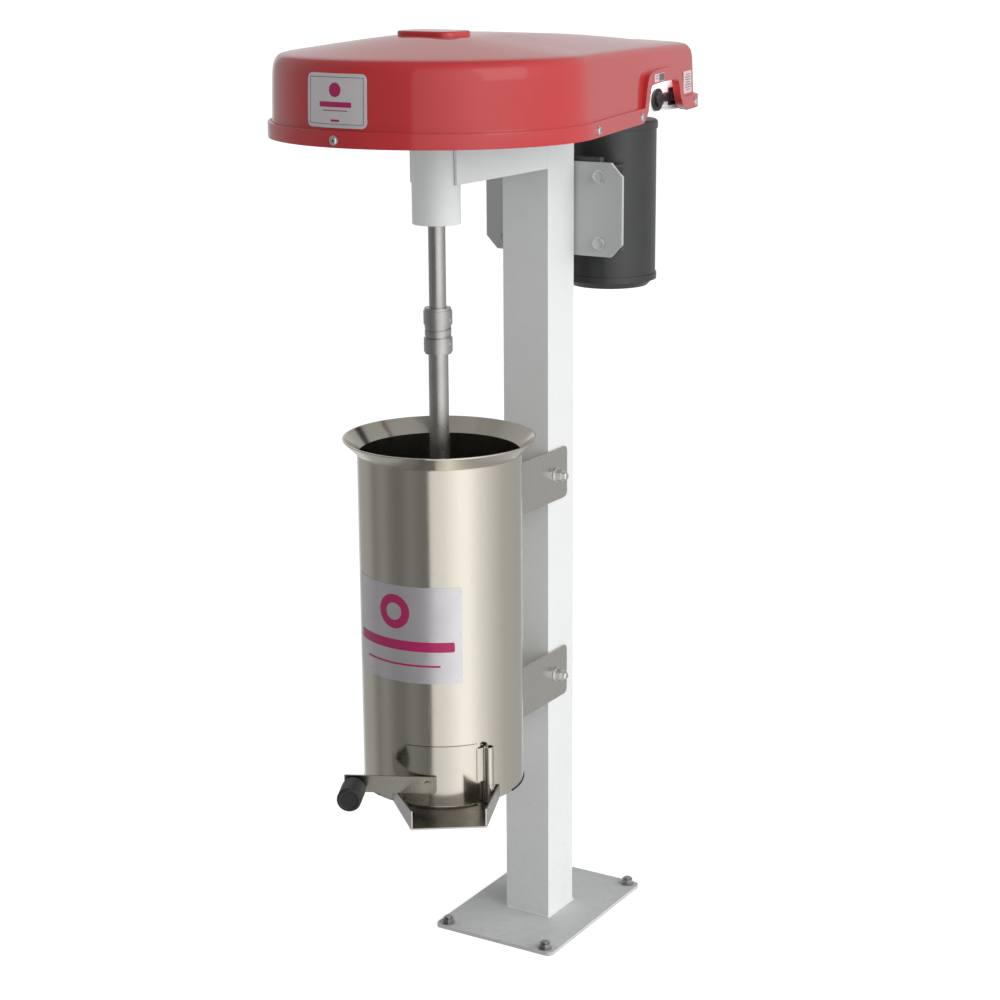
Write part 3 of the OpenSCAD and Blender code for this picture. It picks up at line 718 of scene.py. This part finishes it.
pad = hood_pad()
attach(pad, "frame")
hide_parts("hood_pad")


# ---------------------------------------------------------------- labels


def on_hood_front(x, y, lift):
    a = x / LABEL_R
    r = HOOD_R - wall_inset(y) + 0.0003 + lift
    return Vector((r * math.sin(a), AXIS_Y - r * math.cos(a), y))


def on_tub(x, y, lift):
    a = x / TUB_R
    r = TUB_R + 0.0001 + lift
    return Vector((r * math.sin(a), AXIS_Y - r * math.cos(a), y))


def on_hood_side(x, y, lift):
    return round_spindle(math.degrees(TAPER), HOOD_R - wall_inset(y) + 0.0006 + lift, x, y)


def on_arch_band(x, y, lift):
    return round_spindle(math.degrees(TAPER), HOOD_R - 0.0003 + lift, x, y)


def on_motor(x, y, lift):
    a = x / MOTOR_R
    r = MOTOR_R + 0.0001 + lift
    return Vector((r * math.sin(a), MOTOR_Y + r * math.cos(a), y))


def centred(place, x, y):
    return lambda across, up, lift: place(x + across, y + up, lift)


def front_label():
    at = centred(on_hood_front, -0.0091, 1.3685)
    ink = raised(at, 0.0006)
    parts = [sticker(0.098, 0.071, 0.008, at, (0, 0), 0.0006, FRONT_FOIL)]
    parts += frame_lines(0.088, 0.061, 0.0006, ink, GREY_INK)
    parts.append(sticker(0.019, 0.019, 0.0095, ink, (0, 0.014), INK_THICK, INK))
    parts.append(sticker(0.052, 0.007, 0.0015, ink, (0, -0.005), INK_THICK, INK))
    parts.append(sticker(0.040, 0.0012, 0.0004, ink, (0, -0.013), INK_THICK, INK))
    parts.append(sticker(0.014, 0.003, 0.0006, ink, (0, -0.026), INK_THICK, INK))
    return joined("front_plate", parts)


def tub_sticker():
    at = centred(on_tub, math.radians(1) * TUB_R, 0.600)
    ink = raised(at, FOIL_THICK)
    parts = [sticker(0.195, 0.146, 0.004, at, (0, 0), FOIL_THICK, FOIL)]
    parts.append(sticker(0.052, 0.052, 0.026, ink, (-0.006, 0.033), INK_THICK, INK))
    parts.append(sticker(0.026, 0.026, 0.013, raised(ink, INK_THICK), (-0.006, 0.033), 0.0001, FOIL))
    parts.append(sticker(0.172, 0.015, 0.003, ink, (0, -0.017), INK_THICK, INK))
    parts.append(sticker(0.130, 0.003, 0.0008, ink, (0, -0.046), INK_THICK, INK))
    return joined("tub_sticker", parts)


def side_sticker():
    at = centred(on_hood_side, 0.551, 1.350)
    ink = raised(at, FOIL_THICK)
    parts = [sticker(0.052, 0.035, 0.003, at, (0, 0), FOIL_THICK, PALE)]
    for i in range(7):
        width = 0.036 if i % 3 else 0.024
        tint = INK if i == 0 else GREY_INK
        parts.append(sticker(width, 0.0014, 0, ink, (0.002, 0.012 - 0.004 * i), INK_THICK, tint))
    return joined("side_sticker", parts)


def band_sticker():
    at = centred(on_arch_band, 0.350, 1.3695)
    ink = raised(at, 0.0003)
    parts = [sticker(0.058, 0.012, 0.001, at, (0, 0), 0.0003, PALE)]
    parts.append(sticker(0.030, 0.0105, 0.0006, ink, (0.0125, 0), INK_THICK, GREY_INK))
    parts.append(sticker(0.018, 0.001, 0, ink, (-0.015, 0.003), INK_THICK, GREY_INK))
    parts.append(sticker(0.018, 0.001, 0, ink, (-0.015, -0.001), INK_THICK, GREY_INK))
    return joined("band_sticker", parts)


def motor_sticker():
    at = centred(on_motor, 0.0, 1.165)
    ink = raised(at, 0.0005)
    parts = [sticker(0.066, 0.044, 0.003, at, (0, 0), 0.0005, FOIL)]
    parts += frame_lines(0.058, 0.036, 0.0005, ink, GREY_INK)
    for i in range(6):
        parts.append(sticker(0.048, 0.0009, 0, ink, (0, 0.0125 - 0.005 * i), INK_THICK, GREY_INK))
    for side in (-1, 1):
        parts.append(sticker(0.004, 0.004, 0.002, ink, (side * 0.0305, 0), 0.0007, ZINC))
    return joined("motor_plate", parts)


for made, old in (
    (front_label(), "hood_label"), (tub_sticker(), "tub_label"), (side_sticker(), "side_label"),
):
    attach(made, "frame")
    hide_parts(old)
for made in (band_sticker(), motor_sticker()):
    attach(made, "frame")


# ---------------------------------------------------------------- screws, grip, welds and a painted shadow line


def screw_head(point, direction):
    """A pan head over a washer, with a dark hexagon disc as painted shade in its recess for a hexagon
    socket.
    """
    at = aim(point, direction)
    washer = [
        (0.0030, 0.0), (0.0066, 0.0), (0.0068, 0.0002), (0.0068, 0.0009), (0.0064, 0.0012), (0.0030, 0.0012),
    ]
    head = [
        (0.0, -0.006), (0.0028, -0.006), (0.0028, 0.0010), (0.0054, 0.0012), (0.0054, 0.0021),
        (0.0050, 0.0029), (0.0041, 0.0034), (0.0028, 0.0036), (0.0024, 0.0034), (0.0024, 0.0020),
        (0.0, 0.0018),
    ]
    made = [lathe(washer + washer[:1], at, ZINC, 32), lathe(head, at, ZINC, 32)]
    # painted shade: a thin dark hexagon on the recess floor stands for the shade deep in a hexagon socket
    socket_shade = [(0.0, 0.00195), (0.0022, 0.00205), (0.0022, 0.0021), (0.0, 0.0021)]
    made.append(lathe(socket_shade, at, GREY_INK, 6))
    return made


def hood_screws():
    front_turn = -1.8
    parts = screw_head(round_spindle(front_turn, 0, -HOOD_R, SCREW_Z), flat_direction(front_turn, 0, -1))
    for along in (0.020, 0.249, 0.578):
        for side in (-1, 1):
            turn = math.degrees(TAPER) if side > 0 else 180 - math.degrees(TAPER)
            point = round_spindle(turn, HOOD_R, side * along, SCREW_Z)
            parts += screw_head(point, flat_direction(turn, 1, 0))
    return joined("screw_heads", parts)


screws = hood_screws()
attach(screws, "frame")
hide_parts("hood_screws")


def lever_grip():
    """The black handle: a moulded cylinder with shallow grip rings and a dished end."""
    start = 0.1374
    profile = [(0.0052, 0.0), (0.0135, 0.0), (0.0152, 0.0016), (0.0172, 0.0050)]
    z = 0.0065
    while z < 0.0440:
        profile += [(0.0179, z), (0.0179, z + 0.0034), (0.0173, z + 0.0039), (0.0173, z + 0.0046)]
        z += 0.0052
    profile += [(0.0179, z), (0.0177, 0.0482), (0.0168, 0.0502), (0.0150, 0.0510), (0.0132, 0.0508)]
    profile += [(0.0124, 0.0500), (0.0, 0.0498)]
    point = round_spindle(LEVER_TURN, -0.116, -start, 0.370)
    return lathe(profile, aim(point, flat_direction(LEVER_TURN, 0, -1)), BLACK, 72)


grip = lever_grip()
grip.name = "ribbed_grip"
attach(grip, "lever")
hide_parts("grip")


def torus_ring(radius, thick, z, material, ripples=0, start=0, sweep=360):
    """A thin ring of round section, or part of one, with optional weld ripples."""
    bm = bmesh.new()
    around = 240
    rings = []
    for i in range(around):
        a = math.radians(start + sweep * i / (around if sweep == 360 else around - 1))
        swell = 1 + (0.18 * math.sin(ripples * a) if ripples else 0)
        ring = []
        for k in range(10):
            b = 2 * math.pi * k / 10
            r = radius + thick * swell * math.cos(b)
            place = (r * math.cos(a), AXIS_Y + r * math.sin(a), z + thick * swell * math.sin(b))
            ring.append(bm.verts.new(place))
        rings.append(ring)
    if sweep == 360:
        rings.append(rings[0])
    else:
        bm.faces.new(rings[0])
        bm.faces.new(list(reversed(rings[-1])))
    for a, b in zip(rings, rings[1:]):
        for k in range(10):
            j = (k + 1) % 10
            bm.faces.new((a[k], a[j], b[j], b[k]))
    return mesh_object("ring", bm, material)


def square_bead(half, thick, z, material):
    """A weld bead round the foot of the column, with fine ripples."""
    bm = bmesh.new()
    path = []
    corners = [(half, -half), (half, half), (-half, half), (-half, -half)]
    for (x0, y0), (x1, y1) in zip(corners, corners[1:] + corners[:1]):
        for i in range(60):
            t = i / 60
            path.append((x0 + (x1 - x0) * t, y0 + (y1 - y0) * t))
    rings = []
    for i, (x, y) in enumerate(path):
        before, after = path[i - 1], path[(i + 1) % len(path)]
        along = Vector((after[0] - before[0], after[1] - before[1], 0)).normalized()
        out = along.cross(Vector((0, 0, 1)))
        swell = thick * (1 + 0.14 * math.sin(i * 1.9))
        ring = []
        for k in range(8):
            b = 2 * math.pi * k / 8
            up = Vector((0, 0, swell * math.sin(b)))
            ring.append(bm.verts.new(Vector((x, y, z)) + out * swell * math.cos(b) + up))
        rings.append(ring)
    for i in range(len(rings)):
        a, b = rings[i], rings[(i + 1) % len(rings)]
        for k in range(8):
            j = (k + 1) % 8
            bm.faces.new((a[k], a[j], b[j], b[k]))
    return mesh_object("bead", bm, material)


# painted shade: a thin black ring round part of the tub's foot stands for the dark gap line between its wall
# and its floor
shadow_line = torus_ring(TUB_R + 0.0002, 0.0013, 0.3372, BLACK, start=0, sweep=250)
shadow_line.name = "tub_bottom_shadow_line"
weld = torus_ring(TUB_R + 0.0001, 0.0007, 0.8462, TUB, 90)
weld.name = "tub_neck_weld"
foot_weld = square_bead(0.0404, 0.0022, 0.0064, WHITE)
foot_weld.name = "column_weld"
for made, slot in ((shadow_line, "black_plastic"), (weld, "stainless"), (foot_weld, "white_paint")):
    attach(made, "frame")


# ---------------------------------------------------------------- stage, light and camera


class World:
    """The studio that the shaders see: a soft box on the right, dark on the left, white behind."""

    def __init__(self):
        self.world = bpy.data.worlds.new("studio")
        self.world.use_nodes = True
        self.tree = self.world.node_tree
        self.tree.nodes.clear()
        part = self.put("ShaderNodeSeparateXYZ")
        self.link(self.put("ShaderNodeTexCoord").outputs["Generated"], part.inputs[0])
        self.x, self.y, self.z = part.outputs

    def put(self, kind, **values):
        made = self.tree.nodes.new(kind)
        for key, value in values.items():
            setattr(made, key, value)
        return made

    def link(self, a, b):
        self.tree.links.new(a, b)

    def math(self, how, a, b):
        made = self.put("ShaderNodeMath", operation=how)
        for slot, value in enumerate((a, b)):
            if isinstance(value, (int, float)):
                made.inputs[slot].default_value = value
            else:
                self.link(value, made.inputs[slot])
        return made.outputs[0]

    def mix(self, fac, a, b):
        made = self.put("ShaderNodeMix", data_type="FLOAT")
        for slot, value in zip((0, 2, 3), (fac, a, b)):
            if isinstance(value, (int, float)):
                made.inputs[slot].default_value = value
            else:
                self.link(value, made.inputs[slot])
        return made.outputs[0]


def studio_world():
    """White to the camera, a ring of bright and dark walls to gloss, and side light to the rest."""
    w = World()
    # angle from the front towards the right, in degrees, and how bright the studio is there
    walls = [
        (-180, 0.46), (-150, 0.66), (-127, 0.72), (-122, 0.44), (-110, 0.42), (-88, 0.40), (-72, 0.24),
        (-56, 0.31), (-38, 0.20), (-27, 0.18), (-10, 0.25), (5, 0.20), (16, 0.16), (18.5, 0.88),
        (36, 1.0), (60, 1.36), (72, 1.34), (88, 1.0), (108, 0.74), (128, 0.56), (155, 0.5), (180, 0.46),
    ]
    angle = w.math("ARCTAN2", w.x, w.math("MULTIPLY", w.y, -1))
    share = w.math("ADD", w.math("DIVIDE", angle, 2 * math.pi), 0.5)
    ring = w.put("ShaderNodeValToRGB")
    w.link(share, ring.inputs[0])
    points = ring.color_ramp.elements
    while len(points) < len(walls):
        points.new(0.5)
    for point, (degrees, level) in zip(points, walls):
        point.position = (degrees + 180) / 360
        point.color = (level / 2, level / 2, level / 2, 1)
    around = w.math("MULTIPLY", ring.outputs[0], 2.0)
    high = w.put("ShaderNodeMapRange")
    high.inputs["From Min"].default_value = 0.55
    high.inputs["From Max"].default_value = 0.9
    w.link(w.z, high.inputs["Value"])
    glossy = w.mix(high.outputs[0], around, 0.35)
    right = w.math("MAXIMUM", w.x, 0.0)
    left = w.math("MAXIMUM", w.math("MULTIPLY", w.x, -1), 0.0)
    sides = w.math("ADD", w.math("MULTIPLY", w.math("MULTIPLY", right, right), 3.25),
                   w.math("MULTIPLY", w.math("POWER", left, 4.0), 1.8))
    above = w.math("ADD", sides, 0.03)
    below = w.math("GREATER_THAN", w.z, 0.0)
    diffuse = w.mix(below, 0.5, above)
    seen = w.put("ShaderNodeLightPath")
    level = w.mix(seen.outputs["Is Glossy Ray"], diffuse, glossy)
    level = w.mix(seen.outputs["Is Camera Ray"], level, 1.0)
    back = w.put("ShaderNodeBackground")
    back.inputs["Color"].default_value = (1, 1, 1, 1)
    w.link(level, back.inputs["Strength"])
    w.link(back.outputs[0], w.put("ShaderNodeOutputWorld").inputs[0])
    scene.world = w.world


def studio_floor():
    """A plain white floor that takes shadows but lights nothing itself."""
    bm = bmesh.new()
    bmesh.ops.create_circle(bm, cap_ends=True, segments=96, radius=60.0)
    floor = mesh_object("floor", bm, WHITE, smooth=False)
    n = Nodes("studio_floor")
    n.set(Base_Color=(0.62, 0.62, 0.62, 1), Roughness=0.8, Specular_IOR_Level=0.0)
    n.set(Emission_Color=(1, 1, 1, 1), Emission_Strength=0.75)
    floor.data.materials[0] = n.mat
    floor.visible_glossy = False
    floor.visible_diffuse = False


def area_light(name, width, length, watts):
    data = bpy.data.lights.new(name, "AREA")
    data.shape = "RECTANGLE"
    data.size = width
    data.size_y = length
    data.energy = watts
    made = bpy.data.objects.new(name, data)
    scene.collection.objects.link(made)
    return made


def studio_lights():
    """A soft box at the right, and a faint strip under the hood's rim that lights the switches."""
    lamp = area_light("soft_box", 1.8, 1.8, 9)
    lamp.location = (2.6, -0.6, 2.4)
    lamp.rotation_euler = (Vector((0, 0, 0.8)) - lamp.location).to_track_quat("-Z", "Y").to_euler()

    strip = area_light("switch_light", 0.006, 0.11, 0.09)
    along = flat_direction(math.degrees(TAPER), 0, 1)
    away = -Vector((-0.62, -0.13, -0.77)).normalized()
    away = (away - along * away.dot(along)).normalized()
    turn = Matrix((along.cross(away), along, away)).transposed()
    strip.matrix_world = Matrix.Translation((0.1095, 0.198, 1.366)) @ turn.to_4x4()
    strip.visible_camera = False
    strip.visible_glossy = False


def add_camera():
    data = bpy.data.cameras.new("camera")
    data.sensor_width = 36
    data.lens = 77.43
    data.shift_x = -0.0534
    data.clip_start = 0.1
    data.clip_end = 60
    made = bpy.data.objects.new("camera", data)
    made.location = (1.6818, -2.8668, 1.5843)
    made.rotation_euler = (math.radians(75.2), 0, math.radians(30))
    scene.collection.objects.link(made)
    scene.camera = made


studio_world()
studio_floor()
studio_lights()
add_camera()
scene.view_settings.view_transform = "Standard"
